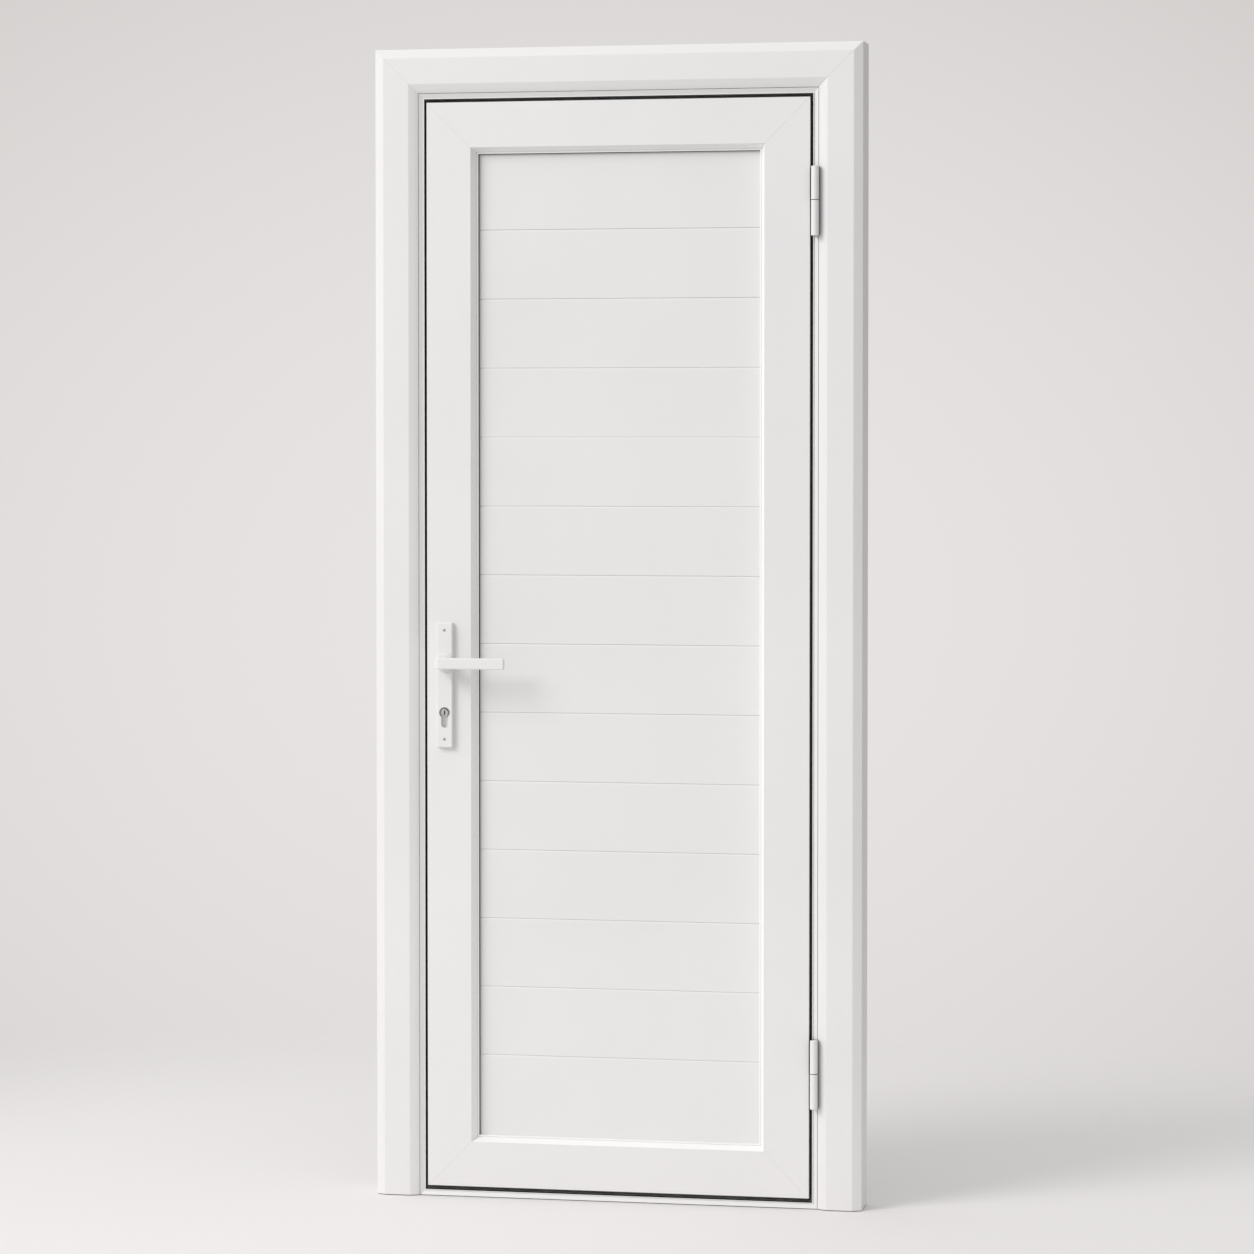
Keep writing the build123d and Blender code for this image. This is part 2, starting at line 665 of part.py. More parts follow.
# Levers: a round neck that turns in the plate, and a flat bar that stands out from it, turns round
# one corner and runs along to a squared end. All its long edges are bevelled.
root_left_x = handle_x - root_width / 2
root_right_x = handle_x + root_width / 2
grip_end_x = handle_x + grip_reach
for face_name, face_y, outward in (("front", leaf_front_y, -1), ("back", leaf_back_y, 1)):
    neck_out_y = face_y + outward * (plate_thickness + rose_height)
    root_y = neck_out_y + outward * rose_clearance
    grip_front_y = face_y + outward * grip_front
    grip_rear_y = grip_front_y - outward * grip_thickness
    with BuildPart() as lever:
        with BuildSketch(Plane.XY.offset(lever_z - grip_height / 2)) as plan:
            with BuildLine():
                Polyline(
                    (root_left_x, root_y),
                    (root_left_x, grip_front_y),
                    (grip_end_x, grip_front_y),
                    (grip_end_x, grip_rear_y),
                    (root_right_x, grip_rear_y),
                    (root_right_x, root_y),
                    close=True,
                )
            make_face()
            outer_corner = plan.vertices().sort_by_distance((root_left_x, grip_front_y))[0]
            fillet(outer_corner, grip_outer_round)
            inner_corner = plan.vertices().sort_by_distance((root_right_x, grip_rear_y))[0]
            fillet(inner_corner, grip_inner_round)
        extrude(amount=grip_height)
        chamfer(lever.faces().filter_by(Axis.Z).edges(), grip_bevel)
        with BuildSketch(Plane(origin=(handle_x, face_y, lever_z), x_dir=(1, 0, 0), z_dir=(0, outward, 0))):
            Circle(neck_radius)
        extrude(amount=plate_thickness + rose_height + neck_merge)
        with BuildSketch(Plane(origin=(handle_x, face_y, lever_z), x_dir=(1, 0, 0), z_dir=(0, outward, 0))):
            Rectangle(spindle_side, spindle_side)
        extrude(amount=spindle_seat, mode=Mode.SUBTRACT)
    save(lever.part, f"lever_{face_name}")

with BuildPart() as spindle:
    with BuildSketch(Plane.XZ.offset(-leaf_front_y + spindle_seat)):
        with Locations((handle_x, lever_z)):
            Rectangle(spindle_side, spindle_side)
    extrude(amount=-(leaf_thickness + 2 * spindle_seat))
save(spindle.part, "spindle")

# Lock: the profile cylinder that passes through leaf and plates, its turning front plug with a
# keyway, the plate on the leaf's edge, and the sprung latch, drawn back level with it.
with BuildPart() as lock_cylinder:
    with BuildSketch(Plane(origin=(handle_x, cylinder_back_y, cylinder_z), z_dir=(0, -1, 0), x_dir=(1, 0, 0))):
        euro_profile(0)
    extrude(amount=cylinder_back_y - cylinder_front_y)
    with BuildSketch(Plane(origin=(handle_x, cylinder_front_y, cylinder_z), z_dir=(0, -1, 0), x_dir=(1, 0, 0))):
        Circle(plug_radius + plug_clearance)
    extrude(amount=-plug_length - plug_clearance, mode=Mode.SUBTRACT)
    with BuildSketch(Plane(origin=(handle_x, cylinder_back_y, cylinder_z), z_dir=(0, -1, 0), x_dir=(1, 0, 0))):
        Rectangle(keyway_width, keyway_height)
    extrude(amount=keyway_depth, mode=Mode.SUBTRACT)
save(lock_cylinder.part, "lock_cylinder")

with BuildPart() as key_plug:
    with BuildSketch(Plane(origin=(handle_x, cylinder_front_y, cylinder_z), z_dir=(0, -1, 0), x_dir=(1, 0, 0))):
        Circle(plug_radius)
    extrude(amount=-plug_length)
    with BuildSketch(Plane(origin=(handle_x, cylinder_front_y, cylinder_z), z_dir=(0, -1, 0), x_dir=(1, 0, 0))):
        Rectangle(keyway_width, keyway_height)
    extrude(amount=-keyway_depth, mode=Mode.SUBTRACT)
save(key_plug.part, "key_plug")

with BuildPart() as lock_plate:
    with BuildSketch(Plane(origin=(lock_plate_x, 0, 0), x_dir=(0, 1, 0), z_dir=(1, 0, 0))):
        with Locations((lock_edge_middle_y, lock_plate_z)):
            Rectangle(lock_plate_width, lock_plate_height)
        with Locations((lock_edge_middle_y, latch_z)):
            Rectangle(latch_width, latch_height, mode=Mode.SUBTRACT)
    extrude(amount=lock_plate_thickness)
save(lock_plate.part, "lock_plate")

with BuildPart() as latch_bolt:
    with BuildSketch(Plane(origin=(lock_plate_x + latch_flush, 0, 0), x_dir=(0, 1, 0), z_dir=(1, 0, 0))):
        with Locations((lock_edge_middle_y, latch_z)):
            Rectangle(latch_width, latch_height)
    extrude(amount=latch_length - latch_flush)
save(latch_bolt.part, "latch_bolt")
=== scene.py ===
import math

import bmesh
import bpy
from mathutils import Matrix, Vector


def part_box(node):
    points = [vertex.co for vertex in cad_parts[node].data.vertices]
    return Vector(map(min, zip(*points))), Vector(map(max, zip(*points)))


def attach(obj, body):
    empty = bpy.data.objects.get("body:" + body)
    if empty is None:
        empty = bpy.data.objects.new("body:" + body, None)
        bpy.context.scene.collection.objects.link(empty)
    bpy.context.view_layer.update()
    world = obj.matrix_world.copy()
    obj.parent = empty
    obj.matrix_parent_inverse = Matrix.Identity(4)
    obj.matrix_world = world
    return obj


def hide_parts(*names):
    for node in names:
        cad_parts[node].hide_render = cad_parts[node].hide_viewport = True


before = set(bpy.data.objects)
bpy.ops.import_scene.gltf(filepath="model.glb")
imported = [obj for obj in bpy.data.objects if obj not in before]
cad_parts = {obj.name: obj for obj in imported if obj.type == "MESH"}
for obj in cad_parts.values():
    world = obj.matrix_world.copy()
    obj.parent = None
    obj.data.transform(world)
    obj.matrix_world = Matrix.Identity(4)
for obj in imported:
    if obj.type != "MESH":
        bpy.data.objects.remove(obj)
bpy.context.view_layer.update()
mm = 0.001


# Casing: three cover profiles of white PVC with a chamfered outer edge, an inner edge that falls away
# in two bevels, and a return that wraps the frame's side. Each is extruded, sawn at 45 degrees for
# the two top corners and pressed over the frame, and the legs stand on the floor.
casing_low, casing_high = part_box("casing_left")
half_width, set_height, front = -casing_low.x, casing_high.z, casing_low.y
# A section lists its corners as distance in from the outer edge and depth behind the face, both in
# mm, and its radii by the corner's number
chamfer_wide, chamfer_deep, face_end = 16.5, 8.25, 64
bevel_turn, turn_deep, bevel_end, bevel_deep = 75.1, 4.8, 80.5, 8
lap, lap_deep, cover_deep, leg_wall, set_deep = 2, 14, 22, 6, 76
casing_section = [(0, chamfer_deep), (chamfer_wide, 0), (face_end, 0), (bevel_turn, turn_deep),
                  (bevel_end, bevel_deep), (bevel_end, lap_deep), (bevel_end - lap, lap_deep),
                  (bevel_end - lap, cover_deep), (leg_wall, cover_deep), (leg_wall, set_deep),
                  (0, set_deep)]
casing_radii = {0: 1.2, 1: 1.0, 2: 1.0, 3: 2.4, 4: 0.7, 5: 0.4, 9: 0.8, 10: 0.8}
fixing_heights, fixing_radius = (0.2, 0.75, 1.3, 1.85), 5


def pvc(name, drawn_along, white=(0.80, 0.793, 0.793)):
    """Extruded PVC: satin, with faint drawing lines along the bar and a slow drift of tone."""
    material = bpy.data.materials.new(name)
    material.use_nodes = True
    nodes, links = material.node_tree.nodes, material.node_tree.links
    shader = nodes["Principled BSDF"]
    shader.inputs["Specular IOR Level"].default_value = 0.42
    shader.inputs["Coat Weight"].default_value = 0.08
    shader.inputs["Coat Roughness"].default_value = 0.18
    place = nodes.new("ShaderNodeTexCoord")
    stretch = nodes.new("ShaderNodeMapping")
    stretch.inputs["Scale"].default_value = [3.0 if axis == drawn_along else 420.0 for axis in "XYZ"]
    links.new(place.outputs["Object"], stretch.inputs["Vector"])
    lines = nodes.new("ShaderNodeTexNoise")
    lines.inputs["Scale"].default_value = 1.0
    lines.inputs["Detail"].default_value = 3.0
    links.new(stretch.outputs["Vector"], lines.inputs["Vector"])
    drift = nodes.new("ShaderNodeTexNoise")
    drift.inputs["Scale"].default_value = 2.6
    drift.inputs["Detail"].default_value = 4.0
    links.new(place.outputs["Object"], drift.inputs["Vector"])
    tone = nodes.new("ShaderNodeValToRGB")
    tone.color_ramp.elements[0].position = 0.30
    tone.color_ramp.elements[0].color = (*[c * 0.975 for c in white], 1)
    tone.color_ramp.elements[1].position = 0.70
    tone.color_ramp.elements[1].color = (white[0] * 1.02, white[1] * 1.015, white[2] * 1.005, 1)
    links.new(drift.outputs["Fac"], tone.inputs["Fac"])
    links.new(tone.outputs["Color"], shader.inputs["Base Color"])
    satin = nodes.new("ShaderNodeMapRange")
    satin.inputs["To Min"].default_value = 0.30
    satin.inputs["To Max"].default_value = 0.42
    links.new(lines.outputs["Fac"], satin.inputs["Value"])
    links.new(satin.outputs["Result"], shader.inputs["Roughness"])
    relief = nodes.new("ShaderNodeBump")
    relief.inputs["Strength"].default_value = 0.10
    relief.inputs["Distance"].default_value = 0.00004
    links.new(lines.outputs["Fac"], relief.inputs["Height"])
    links.new(relief.outputs["Normal"], shader.inputs["Normal"])
    return material


def drawn_bar(section, radii, place, reach):
    """A bar: place puts each corner of the section, which is rounded and drawn out along reach."""
    bar = bmesh.new()
    corners = [bar.verts.new(place(inward * mm, back * mm)) for inward, back in section]
    bar.faces.new(corners)
    for number, radius in radii.items():
        bmesh.ops.bevel(bar, geom=[corners[number]], offset=radius * mm, offset_type="OFFSET", segments=3,
                        profile=0.5, affect="VERTICES", material=-1)
    drawn = bmesh.ops.extrude_face_region(bar, geom=bar.faces[:])
    moved = [v for v in drawn["geom"] if isinstance(v, bmesh.types.BMVert)]
    bmesh.ops.translate(bar, vec=reach, verts=moved)
    bmesh.ops.recalc_face_normals(bar, faces=bar.faces[:])
    return bar


def upright(section, radii, side, edge, low, high, face=front):
    """An upright bar on one side, -1 for the left, whose outer edge lies edge from the middle."""
    return drawn_bar(section, radii, lambda inward, back: (side * (edge - inward), face + back, low),
                     (0, 0, high - low))


def level(section, radii, side, edge, reach, face=front):
    """A level bar under a top edge, side 1, or over a bottom edge, side -1."""
    return drawn_bar(section, radii, lambda inward, back: (-reach, face + back, edge - side * inward),
                     (2 * reach, 0, 0))


def saw(bar, corner, waste, seam=0.6):
    """Saws the bar through corner, drops the side that waste points to and eases the cut's edges."""
    bmesh.ops.bisect_plane(bar, geom=bar.verts[:] + bar.edges[:] + bar.faces[:], dist=1e-7,
                           plane_co=corner, plane_no=Vector(waste).normalized(), clear_outer=True)
    open_edges = [edge for edge in bar.edges if edge.is_boundary]
    closed = bmesh.ops.holes_fill(bar, edges=open_edges, sides=0)["faces"]
    if seam:
        rim = list({edge for face in closed for edge in face.edges})
        bmesh.ops.bevel(bar, geom=rim, offset=seam * mm, offset_type="OFFSET", segments=1, profile=0.5,
                        affect="EDGES", material=-1, clamp_overlap=True)


def joined(operation, base, tool):
    """Unites two shapes or cuts the tool out of the base, and hands back the result."""
    steps = []
    for shape in (base, tool):
        bmesh.ops.recalc_face_normals(shape, faces=shape.faces[:])
        mesh = bpy.data.meshes.new("step")
        shape.to_mesh(mesh)
        shape.free()
        steps.append(bpy.data.objects.new("step", mesh))
        bpy.context.scene.collection.objects.link(steps[-1])
    cut = steps[0].modifiers.new("step", "BOOLEAN")
    cut.operation, cut.solver, cut.object = operation, "EXACT", steps[1]
    made = bpy.data.meshes.new_from_object(steps[0].evaluated_get(bpy.context.evaluated_depsgraph_get()))
    result = bmesh.new()
    result.from_mesh(made)
    bpy.data.meshes.remove(made)
    for step in steps:
        bpy.data.meshes.remove(step.data)
    bmesh.ops.remove_doubles(result, verts=result.verts[:], dist=1e-6)
    return result


def shown(shape, name, material, body, slot, *nodes, sharp=32):
    """The finished shape as a piece that rides on its body and stands for its CAD nodes."""
    bmesh.ops.remove_doubles(shape, verts=shape.verts[:], dist=1e-6)
    bmesh.ops.recalc_face_normals(shape, faces=shape.faces[:])
    mesh = bpy.data.meshes.new(name)
    shape.to_mesh(mesh)
    shape.free()
    piece = bpy.data.objects.new(name, mesh)
    bpy.context.scene.collection.objects.link(piece)
    mesh.materials.append(material)
    for face in mesh.polygons:
        face.use_smooth = True
    mesh.set_sharp_from_angle(angle=math.radians(sharp))
    piece.modifiers.new("flats", "WEIGHTED_NORMAL").keep_sharp = True
    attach(piece, body)
    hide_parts(*nodes)
    return piece


def rod(shape, middle, along, radius, length, segments=48, tip=None):
    """Adds a round rod, or a cone with its own tip radius, centred on middle and lying along."""
    turn = Vector(along).to_track_quat("Z", "Y").to_matrix().to_4x4()
    bmesh.ops.create_cone(shape, cap_ends=True, segments=segments, radius1=radius * mm,
                          radius2=(radius if tip is None else tip) * mm, depth=length * mm,
                          matrix=Matrix.Translation(middle) @ turn)
    return shape


def fixing_holes(side):
    """Cutters for the four wall fixings through an upright of the frame and its casing."""
    drills = bmesh.new()
    for height in fixing_heights:
        rod(drills, (side * (half_width - 50 * mm), 0, height), (1, 0, 0), fixing_radius, 200)
    return drills


upright_pvc = pvc("pvc_drawn_upright", "Z")
level_pvc = pvc("pvc_drawn_level", "X")
for name, side in (("casing_left", -1), ("casing_right", 1)):
    leg = upright(casing_section, casing_radii, side, half_width, 0, set_height)
    saw(leg, (side * half_width, 0, set_height), (-side, 0, 1))
    leg = joined("DIFFERENCE", leg, fixing_holes(side))
    shown(leg, name + "_profile", upright_pvc, "frame", "white_pvc", name)
head = level(casing_section, casing_radii, 1, set_height, half_width)
for side in (-1, 1):
    saw(head, (side * half_width, 0, set_height), (side, 0, -1))
shown(head, "casing_head_profile", level_pvc, "frame", "white_pvc", "casing_head")


# Frame: the outer frame that the leaf closes into, four welded PVC profiles with a sloping strip, a
# rounded nose, a rebate and a stop. The casing hides the rest, and the bottom bar is a low threshold
# with the same nose and stop. White caps close the holes of the wall fixings.
strip_start, strip_high, nose_start, strip_low = 81.3, 8.5, 89.6, 13.8
nose_top, nose_end, stop_front, stop_end = 11.2, 91.25, 65, 108.25
frame_section = [(leg_wall, cover_deep), (bevel_end - lap, cover_deep), (bevel_end - lap, lap_deep),
                 (strip_start, lap_deep), (strip_start, strip_high), (nose_start, strip_low),
                 (nose_start, nose_top), (nose_end, nose_top), (nose_end, stop_front),
                 (stop_end, stop_front), (stop_end, set_deep), (leg_wall, set_deep)]
frame_radii = {4: 0.4, 5: 0.3, 6: 0.75, 7: 0.85, 8: 0.4, 9: 1.0, 10: 1.0}
sill_strip_high, sill_strip_low, sill_nose, sill_top, sill_stop = 9.2, 13.2, 8.35, 10, 27
threshold_section = [(0, sill_strip_high), (sill_nose, sill_strip_low), (sill_nose, nose_top),
                     (sill_top, nose_top), (sill_top, stop_front), (sill_stop, stop_front),
                     (sill_stop, set_deep), (0, set_deep)]
threshold_radii = {1: 0.3, 2: 0.75, 3: 0.85, 4: 0.4, 5: 1.0, 6: 1.0}
clear_x, clear_top, sill = half_width - nose_end * mm, set_height - nose_end * mm, sill_top * mm
frame_seam = 0.7


def block(shape, low, high):
    """Adds a box between two corners."""
    low, high = Vector(low), Vector(high)
    made = bmesh.ops.create_cube(shape, size=1, matrix=Matrix.Translation((low + high) / 2) @
                                 Matrix.Diagonal((*(high - low), 1)))
    return made["verts"]


def ease(shape, width, steps, pick):
    """Rounds the sharp edges whose two ends pick accepts."""
    edges = [edge for edge in shape.edges
             if edge.is_manifold and edge.calc_face_angle(0) > 0.5 and all(pick(v.co) for v in edge.verts)]
    bmesh.ops.bevel(shape, geom=edges, offset=width * mm, offset_type="OFFSET", segments=steps, profile=0.5,
                    affect="EDGES", material=-1, clamp_overlap=True)


strike_low, strike_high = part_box("strike_plate")
latch_low, latch_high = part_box("latch_bolt")
for name, side in (("frame_jamb_left", -1), ("frame_jamb_right", 1)):
    jamb = upright(frame_section, frame_radii, side, half_width, 0, set_height)
    saw(jamb, (side * half_width, 0, set_height), (-side, 0, 1), frame_seam)
    saw(jamb, (side * clear_x, 0, sill), (-side, 0, -1), frame_seam)
    jamb = joined("DIFFERENCE", jamb, fixing_holes(side))
    if side < 0:
        pocket = bmesh.new()
        block(pocket, strike_low, (strike_high.x + 5 * mm, strike_high.y, strike_high.z))
        jamb = joined("DIFFERENCE", jamb, pocket)
        pocket = bmesh.new()
        room = Vector((0, 2 * mm, 2 * mm))
        block(pocket, Vector((-clear_x - 12.5 * mm, latch_low.y, latch_low.z)) - room,
              Vector((-clear_x + 5 * mm, latch_high.y, latch_high.z)) + room)
        jamb = joined("DIFFERENCE", jamb, pocket)
    shown(jamb, name + "_profile", upright_pvc, "frame", "white_pvc", name)
top_bar = level(frame_section, frame_radii, 1, set_height, half_width)
for side in (-1, 1):
    saw(top_bar, (side * half_width, 0, set_height), (side, 0, -1), frame_seam)
shown(top_bar, "frame_head_profile", level_pvc, "frame", "white_pvc", "frame_head")
bottom_bar = level(threshold_section, threshold_radii, -1, 0, half_width)
for side in (-1, 1):
    saw(bottom_bar, (side * clear_x, 0, sill), (side, 0, 1), frame_seam)
shown(bottom_bar, "threshold_profile", level_pvc, "frame", "white_pvc", "threshold")

caps = bmesh.new()
cap_radius, cap_tall, cap_sunk = fixing_radius - 0.05, 3, 1.6 * mm
for height in fixing_heights:
    for side in (-1, 1):
        rod(caps, (side * (half_width - cap_sunk), 0, height), (side, 0, 0), cap_radius, cap_tall)
        rod(caps, (side * (clear_x + cap_sunk), 0, height), (-side, 0, 0), cap_radius, cap_tall)
ease(caps, 0.25, 1, lambda co: True)
shown(caps, "fixing_caps", upright_pvc, "frame", "white_pvc")


# Leaf bars: two stiles and two rails of white PVC, welded at 45 degrees with a fine groove left at
# each corner, their outer front edges rounded. The lock stile's edge tapers towards the back.
stile_low, stile_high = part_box("stile_hinge")
leaf_edge, leaf_low, leaf_top, leaf_front = stile_high.x, stile_low.z, stile_high.z, stile_low.y
leaf_back = stile_high.y
leaf_deep = (leaf_back - leaf_front) / mm
bar_wide = (stile_high.x - stile_low.x) / mm
taper, taper_start, leaf_seam = 3, 8, 0.45
bar_section = [(0, 0), (bar_wide, 0), (bar_wide, leaf_deep), (0, leaf_deep)]
lock_section = [(0, 0), (bar_wide, 0), (bar_wide, leaf_deep), (taper, leaf_deep), (0, taper_start)]
bar_radii = {0: 1.0, 1: 0.5, 2: 0.5, 3: 1.0}
lock_low, lock_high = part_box("lock_plate")
for name, side, section in (("stile_lock", -1, lock_section), ("stile_hinge", 1, bar_section)):
    stile = upright(section, bar_radii, side, leaf_edge, leaf_low, leaf_top, leaf_front)
    saw(stile, (side * leaf_edge, 0, leaf_top), (-side, 0, 1), leaf_seam)
    saw(stile, (side * leaf_edge, 0, leaf_low), (-side, 0, -1), leaf_seam)
    if side < 0:
        pocket = bmesh.new()
        block(pocket, (lock_low.x - 8 * mm, lock_low.y, lock_low.z), lock_high)
        stile = joined("DIFFERENCE", stile, pocket)
    shown(stile, name + "_profile", upright_pvc, "leaf", "white_pvc", name)
for name, turn, edge in (("rail_top", 1, leaf_top), ("rail_bottom", -1, leaf_low)):
    rail = level(bar_section, bar_radii, turn, edge, leaf_edge, leaf_front)
    for side in (-1, 1):
        saw(rail, (side * leaf_edge, 0, edge), (side, 0, -turn), leaf_seam)
    # The lock end follows the lock stile's taper
    saw(rail, (-leaf_edge, leaf_front + taper_start * mm, 0), (taper_start - leaf_deep, taper, 0), 0)
    shown(rail, name + "_profile", level_pvc, "leaf", "white_pvc", name)


# Glazing beads: four mitred PVC strips on each face, a bevel down from the bars to a fine channel
# and a thin nose, snapped into the bars to hold the boards.
slope_end, slope_deep, channel_end, channel_deep = bar_wide + 7.6, 14.6, bar_wide + 8.3, 15.9
bead_nose, nose_deep, bead_back, boards_deep = bar_wide + 10.9, 15, 16.75, 21.6
bead_section = [(bar_wide, 0), (slope_end, slope_deep), (slope_end, channel_deep),
                (channel_end, channel_deep), (channel_end, nose_deep), (bead_nose, nose_deep),
                (bead_nose, bead_back), (bar_wide, bead_back)]
bead_radii = {1: 0.25, 4: 0.3, 5: 0.5}
# The beads' white is lighter than the bars': painted light that lifts the shade of their steep bevels
bead_seam, bead_white_and_light = 0.2, (0.92, 0.915, 0.915)
bead_upright = pvc("pvc_bead_upright", "Z", bead_white_and_light)
bead_level = pvc("pvc_bead_level", "X", bead_white_and_light)
# The bottom bead's and the hinge side's nose reaches back to the boards and hides the seal, so the
# seal's black shows only on the left and top, where it paints the beads' shadow line
ledge_section = [(inward, boards_deep if back == bead_back else back) for inward, back in bead_section]
for face_name in ("front", "back"):
    section, ledge = bead_section, ledge_section
    if face_name == "back":
        section = [(inward, leaf_deep - back) for inward, back in bead_section]
        ledge = [(inward, leaf_deep - back) for inward, back in ledge_section]
    for name, side in (("left", -1), ("right", 1)):
        shape = section if side < 0 else ledge
        bead = upright(shape, bead_radii, side, leaf_edge, leaf_low, leaf_top, leaf_front)
        saw(bead, (side * leaf_edge, 0, leaf_top), (-side, 0, 1), bead_seam)
        saw(bead, (side * leaf_edge, 0, leaf_low), (-side, 0, -1), bead_seam)
        node = f"bead_{face_name}_{name}"
        shown(bead, node + "_strip", bead_upright, "leaf", "white_pvc", node)
    for name, turn, edge in (("top", 1, leaf_top), ("bottom", -1, leaf_low)):
        shape = section if turn > 0 else ledge
        bead = level(shape, bead_radii, turn, edge, leaf_edge, leaf_front)
        for side in (-1, 1):
            saw(bead, (side * leaf_edge, 0, edge), (side, 0, -turn), bead_seam)
        node = f"bead_{face_name}_{name}"
        shown(bead, node + "_strip", bead_level, "leaf", "white_pvc", node)


# Panel boards: fourteen level PVC boards pushed together, tongue in groove. Each one's top slopes back
# and its lower edge is turned under, so two meet in a shallow vee. They stand loose between the beads.
boards_low, boards_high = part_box("panel_boards")
board_pvc = pvc("pvc_board", "X", (0.785, 0.782, 0.78))
first_joint, board_pitch, joint_gap = leaf_top - 231.75 * mm, 125.93 * mm, 0.24 * mm
slope_tall, slope_back, under_tall, under_back, least_board = 2.6, 1.2, 0.6, 0.5, 60 * mm
joints = []
while first_joint - board_pitch * len(joints) > boards_low.z + least_board:
    joints.append(first_joint - board_pitch * len(joints))
for number, (top, bottom) in enumerate(zip([boards_high.z] + joints, joints + [boards_low.z]), 1):
    tall, thick = (top - bottom - joint_gap) / mm, (boards_high.y - boards_low.y) / mm
    board_section = [(slope_tall, 0), (0, slope_back), (0, thick - slope_back), (slope_tall, thick),
                     (tall - under_tall, thick), (tall, thick - under_back), (tall, under_back),
                     (tall - under_tall, 0)]
    plank = drawn_bar(board_section, {}, lambda inward, back: (boards_low.x, boards_low.y + back,
                                                                top - joint_gap / 2 - inward),
                      (boards_high.x - boards_low.x, 0, 0))
    shown(plank, f"panel_plank_{number:02}", board_pvc, "leaf", "board_pvc", "panel_boards", sharp=15)


# Seals: black rubber strips with rounded lips, one run between the beads and the boards, one round
# the leaf's edge and one on the frame's stops. They are pushed into grooves and meet at the corners.
rubber = bpy.data.materials.new("seal_rubber")
rubber.use_nodes = True
nodes, links = rubber.node_tree.nodes, rubber.node_tree.links
shader = nodes["Principled BSDF"]
shader.inputs["Specular IOR Level"].default_value = 0.3
place = nodes.new("ShaderNodeTexCoord")
dust = nodes.new("ShaderNodeTexNoise")
dust.inputs["Scale"].default_value = 340.0
dust.inputs["Detail"].default_value = 5.0
links.new(place.outputs["Object"], dust.inputs["Vector"])
black = nodes.new("ShaderNodeValToRGB")
black.color_ramp.elements[0].color = (0.012, 0.012, 0.013, 1)
black.color_ramp.elements[1].color = (0.034, 0.034, 0.035, 1)
links.new(dust.outputs["Fac"], black.inputs["Fac"])
links.new(black.outputs["Color"], shader.inputs["Base Color"])
dull = nodes.new("ShaderNodeMapRange")
dull.inputs["To Min"].default_value = 0.62
dull.inputs["To Max"].default_value = 0.85
links.new(dust.outputs["Fac"], dull.inputs["Value"])
links.new(dull.outputs["Result"], shader.inputs["Roughness"])

seal_held, seal_shown, seal_tall = 4, 0.7, 5
panel_seal = [(bead_nose - seal_held, bead_back), (bead_nose + seal_shown, bead_back),
              (bead_nose + seal_shown, bead_back + seal_tall), (bead_nose - seal_held, bead_back + seal_tall)]
back_seal = [(inward, leaf_deep - back) for inward, back in panel_seal]
edge_proud, edge_start, edge_end, edge_turn = 2, 4, 10, 1
edge_seal = [(0, edge_start), (-edge_proud, edge_start + edge_turn), (-edge_proud, edge_end - edge_turn),
             (0, edge_end)]
stop_start, stop_wide, seal_front, seal_back = 8.5, 5, leaf_deep + 0.8, leaf_deep + 3
stop_seal = [(stop_start, seal_back), (stop_start, seal_front), (stop_start + stop_wide, seal_front),
             (stop_start + stop_wide, seal_back)]
# The frame's seal run has a thin flush black liner on the rebate's sides, painted shade that
# keeps the gap round the leaf dark
liner_sunk, liner_proud, liner_start, liner_end = -1, 0.1, 4.1, 14
gap_shade_liner = [(liner_sunk, liner_start), (liner_proud, liner_start), (liner_proud, liner_end), (liner_sunk, liner_end)]
panel_radii = {1: 0.4, 2: 0.3}
runs = {
    "panel_seals": ((panel_seal, panel_radii, leaf_edge, leaf_low, leaf_top, "leaf"),
                    (back_seal, panel_radii, leaf_edge, leaf_low, leaf_top, "leaf")),
    "leaf_seal": ((edge_seal, {1: 0.8, 2: 0.8}, leaf_edge, leaf_low, leaf_top, "leaf"),),
    "frame_seal": ((stop_seal, {1: 1.4, 2: 1.4}, clear_x, sill, clear_top, "frame"),
                   (gap_shade_liner, {}, clear_x, sill, clear_top, "frame")),
}
spare = 3 * mm
for node, sections in runs.items():
    for number, (section, radii, edge, low, high, body) in enumerate(sections):
        hidden = section
        # The panel seal stays behind the nose at the right and bottom; at the left and top it shows, a real
        # seal whose black there paints the beads' shadow line
        if node == "panel_seals":
            hidden = [(min(inward, bead_nose - 0.6), back) for inward, back in section]
        for name, side in (("left", -1), ("right", 1)):
            shape = section if side < 0 else hidden
            strip = upright(shape, radii, side, edge, low - spare, high + spare, leaf_front)
            saw(strip, (side * edge, 0, high), (-side, 0, 1), 0)
            saw(strip, (side * edge, 0, low), (-side, 0, -1), 0)
            shown(strip, f"{node}_{number}_{name}", rubber, body, "black_seal", node)
        for name, turn, end in (("top", 1, high), ("bottom", -1, low)):
            shape = section if turn > 0 else hidden
            strip = level(shape, radii, turn, end, edge + spare, leaf_front)
            for side in (-1, 1):
                saw(strip, (side * edge, 0, end), (side, 0, -turn), 0)
            shown(strip, f"{node}_{number}_{name}", rubber, body, "black_seal", node)
